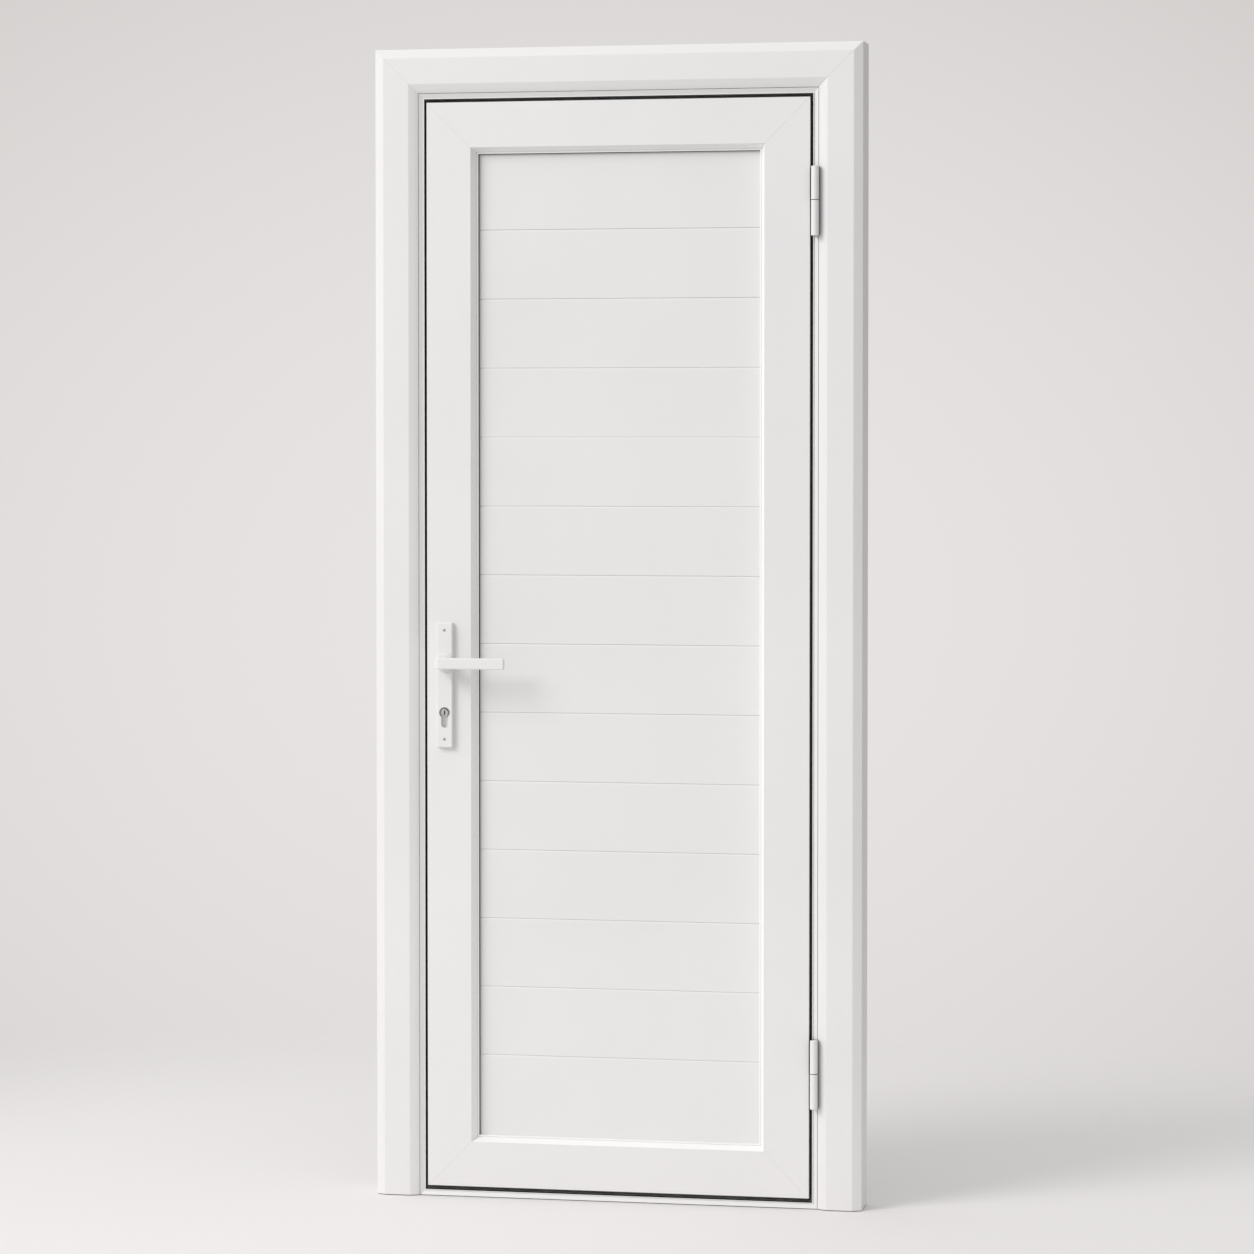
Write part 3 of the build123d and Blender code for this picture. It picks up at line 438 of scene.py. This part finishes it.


# Hinges: two white lift-off hinges. The lower knuckle and a dark grey packer behind the barrel are
# screwed to the frame; the packer's dark grey is partly painted shadow beside the barrel. The upper
# knuckle and its black flag, whose black is painted shade in the gap, are screwed to the leaf's edge,
# drop over a steel pin and turn on a black washer in the packer's hollow, whose black paints the
# shade of the split.
def coated(name, white=(0.80, 0.793, 0.79)):
    """White powder coat on die-cast metal: satin, with the coat's very fine orange peel."""
    material = bpy.data.materials.new(name)
    material.use_nodes = True
    nodes, links = material.node_tree.nodes, material.node_tree.links
    shader = nodes["Principled BSDF"]
    shader.inputs["Specular IOR Level"].default_value = 0.5
    place = nodes.new("ShaderNodeTexCoord")
    peel = nodes.new("ShaderNodeTexNoise")
    peel.inputs["Scale"].default_value = 900.0
    peel.inputs["Detail"].default_value = 2.0
    links.new(place.outputs["Object"], peel.inputs["Vector"])
    film = nodes.new("ShaderNodeTexNoise")
    film.inputs["Scale"].default_value = 30.0
    links.new(place.outputs["Object"], film.inputs["Vector"])
    tone = nodes.new("ShaderNodeValToRGB")
    tone.color_ramp.elements[0].color = (*[c * 0.985 for c in white], 1)
    tone.color_ramp.elements[1].color = (*[c * 1.01 for c in white], 1)
    links.new(film.outputs["Fac"], tone.inputs["Fac"])
    links.new(tone.outputs["Color"], shader.inputs["Base Color"])
    satin = nodes.new("ShaderNodeMapRange")
    satin.inputs["To Min"].default_value = 0.26
    satin.inputs["To Max"].default_value = 0.36
    links.new(peel.outputs["Fac"], satin.inputs["Value"])
    links.new(satin.outputs["Result"], shader.inputs["Roughness"])
    relief = nodes.new("ShaderNodeBump")
    relief.inputs["Strength"].default_value = 0.12
    relief.inputs["Distance"].default_value = 0.00005
    links.new(peel.outputs["Fac"], relief.inputs["Height"])
    links.new(relief.outputs["Normal"], shader.inputs["Normal"])
    return material


def bare(name, colour, rough):
    """Bare or plated metal with fine wear in its tone and gloss."""
    material = bpy.data.materials.new(name)
    material.use_nodes = True
    nodes, links = material.node_tree.nodes, material.node_tree.links
    shader = nodes["Principled BSDF"]
    shader.inputs["Metallic"].default_value = 1.0
    place = nodes.new("ShaderNodeTexCoord")
    marks = nodes.new("ShaderNodeTexNoise")
    marks.inputs["Scale"].default_value = 700.0
    marks.inputs["Detail"].default_value = 4.0
    links.new(place.outputs["Object"], marks.inputs["Vector"])
    tone = nodes.new("ShaderNodeValToRGB")
    tone.color_ramp.elements[0].color = (*[c * 0.82 for c in colour], 1)
    tone.color_ramp.elements[1].color = (*[c * 1.08 for c in colour], 1)
    links.new(marks.outputs["Fac"], tone.inputs["Fac"])
    links.new(tone.outputs["Color"], shader.inputs["Base Color"])
    dull = nodes.new("ShaderNodeMapRange")
    dull.inputs["To Min"].default_value = rough - 0.06
    dull.inputs["To Max"].default_value = rough + 0.08
    links.new(marks.outputs["Fac"], dull.inputs["Value"])
    links.new(dull.outputs["Result"], shader.inputs["Roughness"])
    return material


def screws(places, facing, radius):
    """Countersunk screw heads at the places, with a cross recess each."""
    facing = Vector(facing)
    across = Vector((0, 0, 1))
    aside = facing.cross(across)
    heads = bmesh.new()
    for place in places:
        rod(heads, Vector(place) - facing * 0.9 * mm, facing, radius * 0.55, 1.8, 32, radius)
    for one, other in ((across, aside), (aside, across)):
        slots = bmesh.new()
        for place in places:
            reach = one * radius * 0.62 * mm + other * radius * 0.13 * mm + facing * 0.7 * mm
            corner = Vector([abs(c) for c in reach])
            block(slots, Vector(place) - corner, Vector(place) + corner)
        heads = joined("DIFFERENCE", heads, slots)
    return heads


white_coat = coated("white_coat")
nylon_and_shade = coated("grey_nylon_and_shade", (0.135, 0.135, 0.135))
zinc = bare("zinc_steel", (0.56, 0.56, 0.57), 0.42)
hinge_x, hinge_y, barrel, bore = 0.364, -0.040, 7.0, 4.08
upward, split_high, half_gap, flank_start = (0, 0, 1), 64 * mm, 0.6 * mm, 3.5 * mm
flag_front, flag_back = leaf_front + 12 * mm, leaf_front + 34 * mm
web_left, web_right = leaf_edge + 2.35 * mm, leaf_edge + 3.85 * mm
strip_front = front + 13 * mm
packer_inner, packer_proud, packer_flank = half_width - 82.05 * mm, 5 * mm, 8 * mm
for name in ("lower", "upper"):
    hinge_low, hinge_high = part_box(f"hinge_frame_{name}")
    split = hinge_low.z + split_high
    foot, shoulder, top = hinge_low.z, split + half_gap, hinge_high.z
    axis = (hinge_x, hinge_y, split)
    knuckle = rod(bmesh.new(), (hinge_x, hinge_y, (foot + split - half_gap) / 2), upward, barrel,
                  (split - half_gap - foot) / mm, 64)
    ease(knuckle, 1.3, 4, lambda co: co.z < foot + 0.01 * mm)
    ease(knuckle, 0.4, 2, lambda co: co.z > split - half_gap - 0.01 * mm)
    shown(knuckle, f"hinge_knuckle_{name}", white_coat, "frame", "white_hardware",
          f"hinge_frame_{name}", sharp=50)

    # The grey packer between the strip and the barrel, hollowed round the knuckle that turns. Its dark
    # grey is partly painted shadow beside the barrel
    outline = [(clear_x, strip_front), (hinge_x, hinge_y), (hinge_x + barrel * mm, hinge_y + flank_start),
               (hinge_x + packer_flank, hinge_y + flank_start), (packer_inner, strip_front - packer_proud),
               (packer_inner, strip_front)]
    packer = bmesh.new()
    packer.faces.new([packer.verts.new((x, y, foot)) for x, y in outline])
    drawn = bmesh.ops.extrude_face_region(packer, geom=packer.faces[:])
    bmesh.ops.translate(packer, vec=(0, 0, top - foot),
                        verts=[v for v in drawn["geom"] if isinstance(v, bmesh.types.BMVert)])
    for height, rise in ((top, 1), (foot, -1)):
        saw(packer, (hinge_x + barrel * mm, 0, height), (1.6, 0, rise), 0)
    hollow = rod(bmesh.new(), (hinge_x, hinge_y, (split + top) / 2 + 2 * mm), upward, barrel + 0.5,
                 (top - split) / mm + 4.8, 64)
    packer = joined("DIFFERENCE", packer, hollow)
    fixed = rod(bmesh.new(), (hinge_x, hinge_y, split - 40 * mm), upward, barrel - 0.05, 90, 64)
    packer = joined("DIFFERENCE", packer, fixed)
    shown(packer, f"hinge_packer_and_shade_{name}", nylon_and_shade, "frame", "black_seal", f"hinge_frame_{name}")
    # A washer in the split, black so that it paints the shade of the split line
    washer = rod(bmesh.new(), axis, upward, 6.7, 1.0, 48)
    washer = joined("DIFFERENCE", washer, rod(bmesh.new(), axis, upward, bore, 20, 40))
    shown(washer, f"hinge_washer_and_shade_{name}", rubber, "frame", "black_seal", f"hinge_frame_{name}")

    # The leaf's half: the white upper knuckle and the black web and flag that carry it; their black is
    # painted shade in the gap beside the barrel
    hung = rod(bmesh.new(), (hinge_x, hinge_y, (shoulder + top) / 2), upward, barrel,
               (top - shoulder) / mm, 64)
    ease(hung, 1.3, 4, lambda co: co.z > top - 0.01 * mm)
    ease(hung, 0.4, 2, lambda co: co.z < shoulder + 0.01 * mm)
    outline = [(hinge_x - (barrel - 0.1) * mm, hinge_y), (web_left, hinge_y + 5 * mm), (web_left, flag_front),
               (leaf_edge, flag_front), (leaf_edge, flag_back), (web_right, flag_back), (web_right, hinge_y)]
    flag = bmesh.new()
    flag.faces.new([flag.verts.new((x, y, shoulder + 1.5 * mm)) for x, y in outline])
    drawn = bmesh.ops.extrude_face_region(flag, geom=flag.faces[:])
    bmesh.ops.translate(flag, vec=(0, 0, top - shoulder - 3 * mm),
                        verts=[v for v in drawn["geom"] if isinstance(v, bmesh.types.BMVert)])
    hung = joined("DIFFERENCE", hung, rod(bmesh.new(), axis, upward, bore, 84, 40))
    shown(hung, f"hinge_hung_{name}", white_coat, "leaf", "white_hardware", f"hinge_leaf_{name}", sharp=50)
    flag = joined("DIFFERENCE", flag, rod(bmesh.new(), axis, upward, barrel - 0.2, 140, 64))
    seats = [(web_right, (flag_front + flag_back) / 2, split + rise * mm) for rise in (15, 46)]
    sunk = bmesh.new()
    for seat in seats:
        rod(sunk, Vector(seat) - Vector((0.8 * mm, 0, 0)), (1, 0, 0), 2.2, 1.8, 32, 3.5)
    flag = joined("DIFFERENCE", flag, sunk)
    shown(flag, f"hinge_flag_and_shade_{name}", rubber, "leaf", "black_seal", f"hinge_leaf_{name}", sharp=50)
    shown(screws([Vector(seat) - Vector((0.3 * mm, 0, 0)) for seat in seats], (1, 0, 0), 3.1),
          f"hinge_screws_{name}", zinc, "leaf", "steel", sharp=30)
for name in ("hinge_pin_upper", "hinge_pin_lower", "spindle"):
    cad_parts[name].data.materials.clear()
    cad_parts[name].data.materials.append(zinc)


# Handle plates: long narrow die-cast plates, one on each face, with rounded corners, a rounded rim,
# a raised rose round the lever's neck, a keyhole-shaped opening and two sunk fixing screws.
plate_low, plate_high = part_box("handle_plate_front")
lever_z, cylinder_z, screw_high, screw_low = 0.981, 0.889, 1.0398, 0.8403
plate_bottom, plate_top = plate_low.z, plate_high.z
plate_middle, draft = (plate_bottom + plate_top) / 2, 1.2 * mm
handle_x = (plate_low.x + plate_high.x) / 2
plate_wide, plate_thick, rose_radius, rose_rise = 29.0, 11.0, 17.0, 5.0


def euro(growth, low, high):
    """The keyhole-shaped bar of a profile cylinder between two depths, grown all round."""
    deep, middle, drop, round_part, web_half = (high - low) / mm, (low + high) / 2, 20.8 * mm, 8.5, 5
    shape = rod(bmesh.new(), (handle_x, middle, cylinder_z), (0, 1, 0), round_part + growth, deep, 64)
    web = bmesh.new()
    half = (web_half + growth) * mm
    block(web, (handle_x - half, low, cylinder_z - drop), (handle_x + half, high, cylinder_z))
    shape = joined("UNION", shape, web)
    return joined("UNION", shape, rod(bmesh.new(), (handle_x, middle, cylinder_z - drop), (0, 1, 0),
                                      web_half + growth, deep, 64))


for name, face, out in (("front", leaf_front, -1), ("back", leaf_back, 1)):
    outer = face + out * plate_thick * mm
    plate = bmesh.new()
    depths = sorted((face, outer))
    block(plate, (handle_x - plate_wide / 2 * mm, depths[0], plate_bottom),
          (handle_x + plate_wide / 2 * mm, depths[1], plate_top))
    # The sides have a draft, widest against the leaf
    for vert in plate.verts:
        if abs(vert.co.y - face) < 0.01 * mm:
            vert.co.x += math.copysign(draft, vert.co.x - handle_x)
            vert.co.z += math.copysign(draft, vert.co.z - plate_middle)
    upright_corners = [edge for edge in plate.edges
                       if abs(edge.verts[0].co.y - edge.verts[1].co.y) > 1 * mm]
    bmesh.ops.bevel(plate, geom=upright_corners, offset=3 * mm, offset_type="OFFSET", segments=8, profile=0.5,
                    affect="EDGES", material=-1)
    ease(plate, 2.0, 3, lambda co: abs(co.y - outer) < 0.01 * mm)
    rose = rod(bmesh.new(), (handle_x, face + out * (plate_thick + rose_rise) / 2 * mm, lever_z), (0, 1, 0),
               rose_radius, plate_thick + rose_rise, 96)
    ease(rose, 1.2, 4, lambda co: abs(co.y - face) > (plate_thick + rose_rise - 0.01) * mm)
    plate = joined("UNION", plate, rose)
    plate = joined("DIFFERENCE", plate, rod(bmesh.new(), (handle_x, face, lever_z), (0, 1, 0), 8.08, 60, 64))
    plate = joined("DIFFERENCE", plate, euro(1.6, min(face, outer) - 3 * mm, max(face, outer) + 3 * mm))
    seats = [(handle_x, outer, height) for height in (screw_high, screw_low)]
    sunk = bmesh.new()
    for seat in seats:
        rod(sunk, seat, (0, 1, 0), 2.7, 3.2, 32)
    plate = joined("DIFFERENCE", plate, sunk)
    shown(plate, f"handle_plate_{name}_casting", white_coat, "leaf", "white_hardware",
          f"handle_plate_{name}", sharp=40)
    heads = [Vector(seat) - Vector((0, out * 0.8 * mm, 0)) for seat in seats]
    shown(screws(heads, (0, out, 0), 2.5), f"handle_screws_{name}", zinc, "leaf", "steel", sharp=30)


# Levers: die-cast bars with the same white coat, a round neck that turns in the rose, a square arm
# that stands out and turns one corner, and a flat grip with softly rounded edges and a squared end.
arm_near, arm_far, arm_rear, arm_half, grip_tall, grip_end = 16.4, 53, 43.5, 9.75, 20.5, 120.5
for name, face, out in (("front", leaf_front, -1), ("back", leaf_back, 1)):
    near, far, rear = face + out * arm_near * mm, face + out * arm_far * mm, face + out * arm_rear * mm
    left, right, end = handle_x - arm_half * mm, handle_x + arm_half * mm, handle_x + grip_end * mm
    arm = bmesh.new()
    corners = [arm.verts.new((x, y, lever_z - grip_tall / 2 * mm)) for x, y in
               ((left, near), (left, far), (end, far), (end, rear), (right, rear), (right, near))]
    arm.faces.new(corners)
    for number, radius, steps in ((1, 9, 12), (2, 2.6, 5), (3, 2.6, 5), (4, 6, 9)):
        bmesh.ops.bevel(arm, geom=[corners[number]], offset=radius * mm, offset_type="OFFSET", segments=steps,
                        profile=0.5, affect="VERTICES", material=-1)
    drawn = bmesh.ops.extrude_face_region(arm, geom=arm.faces[:])
    bmesh.ops.translate(arm, vec=(0, 0, grip_tall * mm),
                        verts=[v for v in drawn["geom"] if isinstance(v, bmesh.types.BMVert)])
    rims = [edge for edge in arm.edges if abs(edge.verts[0].co.z - edge.verts[1].co.z) < 1 * mm]
    bmesh.ops.bevel(arm, geom=rims, offset=2.4 * mm, offset_type="OFFSET", segments=4, profile=0.5,
                    affect="EDGES", material=-1)
    neck = rod(bmesh.new(), (handle_x, (face + near + out * 3.5 * mm) / 2, lever_z), (0, 1, 0), 8.0,
               abs(near + out * 2.5 * mm - face) / mm, 64)
    arm = joined("UNION", arm, neck)
    shown(arm, f"lever_{name}_casting", white_coat, "lever", "white_hardware", f"lever_{name}", sharp=40)


# Lock: the satin nickel profile cylinder through leaf and plates, its turning plug with the keyway,
# the zinc plate and latch on the leaf's edge, and the plate that the latch strikes on the frame.
nickel = bare("satin_nickel", (0.70, 0.70, 0.70), 0.34)
cylinder_front, cylinder_back = leaf_front - 10.4 * mm, leaf_back + 10.4 * mm
plug_radius, plug_deep, keyway_half, keyway_tall, keyway_deep = 6.4, 20, 1.4 * mm, 4.1 * mm, 16 * mm
body = euro(0, cylinder_front, cylinder_back)
ease(body, 0.5, 2, lambda co: co.y < cylinder_front + 0.01 * mm)
ease(body, 0.5, 2, lambda co: co.y > cylinder_back - 0.01 * mm)
plug_bore = rod(bmesh.new(), (handle_x, cylinder_front, cylinder_z), (0, 1, 0), plug_radius + 0.15,
                2 * plug_deep + 0.2, 64)
body = joined("DIFFERENCE", body, plug_bore)
keyhole = bmesh.new()
block(keyhole, (handle_x - keyway_half, cylinder_back - keyway_deep, cylinder_z - keyway_tall),
      (handle_x + keyway_half, cylinder_back + 5 * mm, cylinder_z + keyway_tall))
body = joined("DIFFERENCE", body, keyhole)
shown(body, "lock_cylinder_body", nickel, "leaf", "nickel", "lock_cylinder", sharp=40)
plug = rod(bmesh.new(), (handle_x, cylinder_front + plug_deep / 2 * mm, cylinder_z), (0, 1, 0),
           plug_radius, plug_deep, 64)
ease(plug, 0.4, 2, lambda co: co.y < cylinder_front + 0.01 * mm)
plug_face = max((f for f in plug.faces if f.normal.y < -0.9), key=lambda f: f.calc_area())
bmesh.ops.inset_region(plug, faces=[plug_face], thickness=1.0 * mm, depth=0)
bmesh.ops.inset_region(plug, faces=[plug_face], thickness=0.25 * mm, depth=-0.4 * mm)
keyhole = bmesh.new()
block(keyhole, (handle_x - keyway_half, cylinder_front - 5 * mm, cylinder_z - keyway_tall),
      (handle_x + keyway_half, cylinder_front + keyway_deep, cylinder_z + keyway_tall))
plug = joined("DIFFERENCE", plug, keyhole)
shown(plug, "key_plug_barrel", nickel, "plug", "nickel", "key_plug", sharp=40)

edge_plate = bmesh.new()
block(edge_plate, lock_low, lock_high)
ease(edge_plate, 0.4, 2, lambda co: True)
opening = bmesh.new()
block(opening, (lock_low.x - 5 * mm, latch_low.y - 0.2 * mm, latch_low.z - 0.2 * mm),
      (lock_high.x + 5 * mm, latch_high.y + 0.2 * mm, latch_high.z + 0.2 * mm))
edge_plate = joined("DIFFERENCE", edge_plate, opening)
shown(edge_plate, "lock_edge_plate", zinc, "leaf", "steel", "lock_plate")
middle = (lock_low.y + lock_high.y) / 2
seats = [(lock_low.x, middle, lock_low.z + 10 * mm), (lock_low.x, middle, lock_high.z - 10 * mm)]
heads = [Vector(seat) - Vector((0.15 * mm, 0, 0)) for seat in seats]
shown(screws(heads, (-1, 0, 0), 3.4), "lock_edge_screws", zinc, "leaf", "steel", sharp=30)
latch = bmesh.new()
block(latch, latch_low, latch_high)
slanted = [edge for edge in latch.edges
           if all(v.co.x < latch_low.x + 1e-5 and v.co.y > latch_high.y - 1e-5 for v in edge.verts)]
bmesh.ops.bevel(latch, geom=slanted, offset=5 * mm, offset_type="OFFSET", segments=1, profile=0.5,
                affect="EDGES", material=-1)
ease(latch, 0.3, 2, lambda co: True)
shown(latch, "latch_bolt_tongue", nickel, "leaf", "nickel", "latch_bolt")

strike = bmesh.new()
block(strike, strike_low, strike_high)
ease(strike, 0.3, 2, lambda co: True)
opening = bmesh.new()
block(opening, (strike_low.x - 5 * mm, latch_low.y, latch_low.z),
      (strike_high.x + 5 * mm, latch_high.y, latch_high.z))
strike = joined("DIFFERENCE", strike, opening)
shown(strike, "strike_plate_pressing", zinc, "frame", "steel", "strike_plate")
middle = (strike_low.y + strike_high.y) / 2
seats = [(strike_high.x + 0.1 * mm, middle, strike_low.z + 12 * mm),
         (strike_high.x + 0.1 * mm, middle, strike_high.z - 12 * mm)]
shown(screws(seats, (1, 0, 0), 3.4), "strike_screws", zinc, "frame", "steel", sharp=30)


# Studio: a pale floor that fades into a plain warm grey ground, an even dome of light that is
# brighter from the upper left, and one large soft lamp from the same side for the shadows.
floor_bm = bmesh.new()
bmesh.ops.create_circle(floor_bm, cap_ends=True, segments=96, radius=3.4)
floor_mesh = bpy.data.meshes.new("floor")
floor_bm.to_mesh(floor_mesh)
floor_bm.free()
floor_mesh.transform(Matrix.Translation((0, 0, -1.6 * mm)))
floor = bpy.data.objects.new("floor", floor_mesh)
bpy.context.scene.collection.objects.link(floor)
ground = bpy.data.materials.new("studio_floor")
ground.use_nodes = True
nodes, links = ground.node_tree.nodes, ground.node_tree.links
shader, out = nodes["Principled BSDF"], nodes["Material Output"]
shader.inputs["Base Color"].default_value = (0.835, 0.815, 0.81, 1)
shader.inputs["Roughness"].default_value = 0.9
shader.inputs["Specular IOR Level"].default_value = 0.1
place = nodes.new("ShaderNodeTexCoord")
away = nodes.new("ShaderNodeVectorMath")
away.operation = "LENGTH"
links.new(place.outputs["Object"], away.inputs[0])
fade = nodes.new("ShaderNodeMapRange")
fade.interpolation_type = "SMOOTHERSTEP"
fade.inputs["From Min"].default_value = 1.0
fade.inputs["From Max"].default_value = 2.7
links.new(away.outputs["Value"], fade.inputs["Value"])
clear = nodes.new("ShaderNodeBsdfTransparent")
blend = nodes.new("ShaderNodeMixShader")
links.new(fade.outputs["Result"], blend.inputs[0])
links.new(shader.outputs["BSDF"], blend.inputs[1])
links.new(clear.outputs["BSDF"], blend.inputs[2])
links.new(blend.outputs["Shader"], out.inputs["Surface"])
floor_mesh.materials.append(ground)

world = bpy.data.worlds.new("studio")
bpy.context.scene.world = world
world.use_nodes = True
nodes, links = world.node_tree.nodes, world.node_tree.links
heading = nodes.new("ShaderNodeTexCoord")
lean = nodes.new("ShaderNodeVectorMath")
lean.operation = "DOT_PRODUCT"
lean.inputs[1].default_value = (-0.46, -0.22, 0.48)
links.new(heading.outputs["Generated"], lean.inputs[0])
dome = nodes.new("ShaderNodeMath")
dome.operation = "MULTIPLY_ADD"
dome.inputs[1].default_value = 0.58
dome.inputs[2].default_value = 0.58
links.new(lean.outputs["Value"], dome.inputs[0])
even = nodes["Background"]
even.inputs["Color"].default_value = (1.0, 1.0, 0.998, 1)
links.new(dome.outputs["Value"], even.inputs["Strength"])
# The ground that the camera sees is lightest behind the door and darkens towards the edges, a
# painted pool of light
offset = nodes.new("ShaderNodeVectorMath")
offset.operation = "SUBTRACT"
offset.inputs[1].default_value = (-0.20, 0.98, -0.04)
links.new(heading.outputs["Generated"], offset.inputs[0])
weigh = nodes.new("ShaderNodeVectorMath")
weigh.operation = "MULTIPLY"
weigh.inputs[1].default_value = (0.78, 0.0, 1.0)
links.new(offset.outputs["Vector"], weigh.inputs[0])
spread = nodes.new("ShaderNodeVectorMath")
spread.operation = "DOT_PRODUCT"
links.new(weigh.outputs["Vector"], spread.inputs[0])
links.new(weigh.outputs["Vector"], spread.inputs[1])
dim = nodes.new("ShaderNodeMapRange")
dim.inputs["From Max"].default_value = 0.05
links.new(spread.outputs["Value"], dim.inputs["Value"])
wall = nodes.new("ShaderNodeMix")
wall.data_type = "RGBA"
wall.inputs["A"].default_value = (0.799, 0.775, 0.768, 1)
wall.inputs["B"].default_value = (0.597, 0.578, 0.565, 1)
links.new(dim.outputs["Result"], wall.inputs["Factor"])
seen = nodes.new("ShaderNodeBackground")
links.new(wall.outputs["Result"], seen.inputs["Color"])
path = nodes.new("ShaderNodeLightPath")
direct = nodes.new("ShaderNodeMath")
direct.operation = "MAXIMUM"
links.new(path.outputs["Is Camera Ray"], direct.inputs[0])
links.new(path.outputs["Is Glossy Ray"], direct.inputs[1])
either = nodes.new("ShaderNodeMath")
either.operation = "MAXIMUM"
links.new(direct.outputs["Value"], either.inputs[0])
links.new(path.outputs["Is Transmission Ray"], either.inputs[1])
pick = nodes.new("ShaderNodeMixShader")
links.new(either.outputs["Value"], pick.inputs[0])
links.new(even.outputs["Background"], pick.inputs[1])
links.new(seen.outputs["Background"], pick.inputs[2])
links.new(pick.outputs["Shader"], nodes["World Output"].inputs["Surface"])

lamp = bpy.data.lights.new("soft_key", "AREA")
lamp.shape = "DISK"
lamp.size = 4.6
lamp.energy = 355
lamp.color = (1.0, 0.99, 0.985)
key = bpy.data.objects.new("soft_key", lamp)
bpy.context.scene.collection.objects.link(key)
toward = Vector((-0.58, -0.63, 0.51)).normalized()
key.location = Vector((0, 0, 1.05)) + toward * 9.0
key.rotation_euler = toward.to_track_quat("Z", "Y").to_euler()

camera = bpy.data.objects.new("camera", bpy.data.cameras.new("camera"))
bpy.context.scene.collection.objects.link(camera)
camera.data.lens = 117.14
camera.data.sensor_width = 36
camera.data.shift_y = -0.05
camera.location = (1.44524, -7.28511, 1.38807)
camera.rotation_euler = (math.radians(90 - 1.75), 0, math.radians(11.12))
bpy.context.scene.camera = camera
bpy.context.scene.view_settings.view_transform = "Standard"
